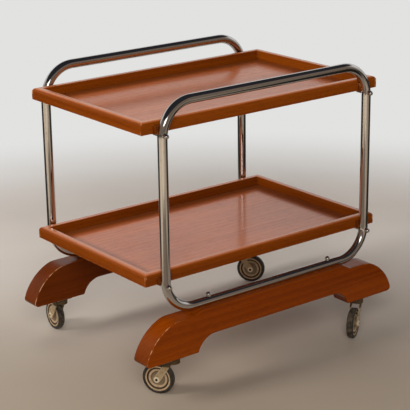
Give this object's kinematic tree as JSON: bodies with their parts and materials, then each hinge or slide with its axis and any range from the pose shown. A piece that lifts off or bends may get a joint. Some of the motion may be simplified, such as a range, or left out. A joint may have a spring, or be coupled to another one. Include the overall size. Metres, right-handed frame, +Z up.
{
  "type": "two-tier tea trolley",
  "caption": "Two-tier tea trolley: wooden trays with raised rims held between chromed tube loops, on arched wooden runners with swivel casters.",
  "frame": {"origin": "on the floor under the middle of the trays", "axes": "+Z up, X along the trolley, Y across it; the pictured long side faces -Y"},
  "size_m": [0.7478, 0.5841, 0.6888],
  "materials": {
    "solid_wood": "satin lacquered red-brown hardwood",
    "tray_veneer": "satin lacquered veneer, grain along the trolley",
    "chromed_tube": "bright chrome",
    "chromed_fasteners": "bright chrome",
    "plated_steel": "dull plated",
    "caster_metal": "dull brassed steel",
    "wheel_disc": "cream enamel, rubbed",
    "tyre": "matt black rubber"
  },
  "bodies": {
    "trolley": {"lower_tray_near_rail": "solid_wood", "lower_tray_far_rail": "solid_wood", "lower_tray_left_rail": "solid_wood", "lower_tray_right_rail": "solid_wood", "lower_tray_panel": "tray_veneer", "lower_left_tie_rod": "plated_steel", "lower_right_tie_rod": "plated_steel", "lower_post_saddles": "solid_wood", "lower_dome_nuts": "chromed_fasteners", "lower_rod_clips": "plated_steel", "lower_clip_screws": "plated_steel", "upper_tray_near_rail": "solid_wood", "upper_tray_far_rail": "solid_wood", "upper_tray_left_rail": "solid_wood", "upper_tray_right_rail": "solid_wood", "upper_tray_panel": "tray_veneer", "upper_left_tie_rod": "plated_steel", "upper_right_tie_rod": "plated_steel", "upper_post_saddles": "solid_wood", "upper_dome_nuts": "chromed_fasteners", "upper_rod_clips": "plated_steel", "upper_clip_screws": "plated_steel", "near_loop": "chromed_tube", "far_loop": "chromed_tube", "near_runner": "solid_wood", "far_runner": "solid_wood", "runner_bolts": "chromed_fasteners", "runner_washers": "plated_steel", "runner_nuts": "plated_steel", "caster_screws": "plated_steel", "near_left_caster_plate": "caster_metal", "near_left_caster_king_pin": "plated_steel", "near_left_caster_balls": "plated_steel", "near_right_caster_plate": "caster_metal", "near_right_caster_king_pin": "plated_steel", "near_right_caster_balls": "plated_steel", "far_left_caster_plate": "caster_metal", "far_left_caster_king_pin": "plated_steel", "far_left_caster_balls": "plated_steel", "far_right_caster_plate": "caster_metal", "far_right_caster_king_pin": "plated_steel", "far_right_caster_balls": "plated_steel"},
    "near_left_fork": {"near_left_caster_fork": "caster_metal", "near_left_caster_axle": "caster_metal"},
    "near_left_wheel": {"near_left_caster_wheel_disc": "wheel_disc", "near_left_caster_tyre": "tyre"},
    "near_right_fork": {"near_right_caster_fork": "caster_metal", "near_right_caster_axle": "caster_metal"},
    "near_right_wheel": {"near_right_caster_wheel_disc": "wheel_disc", "near_right_caster_tyre": "tyre"},
    "far_left_fork": {"far_left_caster_fork": "caster_metal", "far_left_caster_axle": "caster_metal"},
    "far_left_wheel": {"far_left_caster_wheel_disc": "wheel_disc", "far_left_caster_tyre": "tyre"},
    "far_right_fork": {"far_right_caster_fork": "caster_metal", "far_right_caster_axle": "caster_metal"},
    "far_right_wheel": {"far_right_caster_wheel_disc": "wheel_disc", "far_right_caster_tyre": "tyre"}
  },
  "joints": [
    {"name": "near_left_swivel", "type": "hinge", "parent": "trolley", "child": "near_left_fork", "pos_m": [-0.284, -0.2331, 0.096], "axis": [0, 0, 1], "continuous": true},
    {"name": "near_left_spin", "type": "hinge", "parent": "near_left_fork", "child": "near_left_wheel", "pos_m": [-0.30361, -0.20291, 0.0375], "axis": [-0.8387, -0.5446, 0], "continuous": true},
    {"name": "near_right_swivel", "type": "hinge", "parent": "trolley", "child": "near_right_fork", "pos_m": [0.284, -0.2331, 0.096], "axis": [0, 0, 1], "continuous": true},
    {"name": "near_right_spin", "type": "hinge", "parent": "near_right_fork", "child": "near_right_wheel", "pos_m": [0.25347, -0.25218, 0.0375], "axis": [0.5299, -0.848, 0], "continuous": true},
    {"name": "far_left_swivel", "type": "hinge", "parent": "trolley", "child": "far_left_fork", "pos_m": [-0.284, 0.2331, 0.096], "axis": [0, 0, 1], "continuous": true},
    {"name": "far_left_spin", "type": "hinge", "parent": "far_left_fork", "child": "far_left_wheel", "pos_m": [-0.28149, 0.26901, 0.0375], "axis": [-0.9976, 0.0698, 0], "continuous": true},
    {"name": "far_right_swivel", "type": "hinge", "parent": "trolley", "child": "far_right_fork", "pos_m": [0.284, 0.2331, 0.096], "axis": [0, 0, 1], "continuous": true},
    {"name": "far_right_spin", "type": "hinge", "parent": "far_right_fork", "child": "far_right_wheel", "pos_m": [0.30809, 0.20635, 0.0375], "axis": [0.7431, 0.6691, 0], "continuous": true}
  ]
}
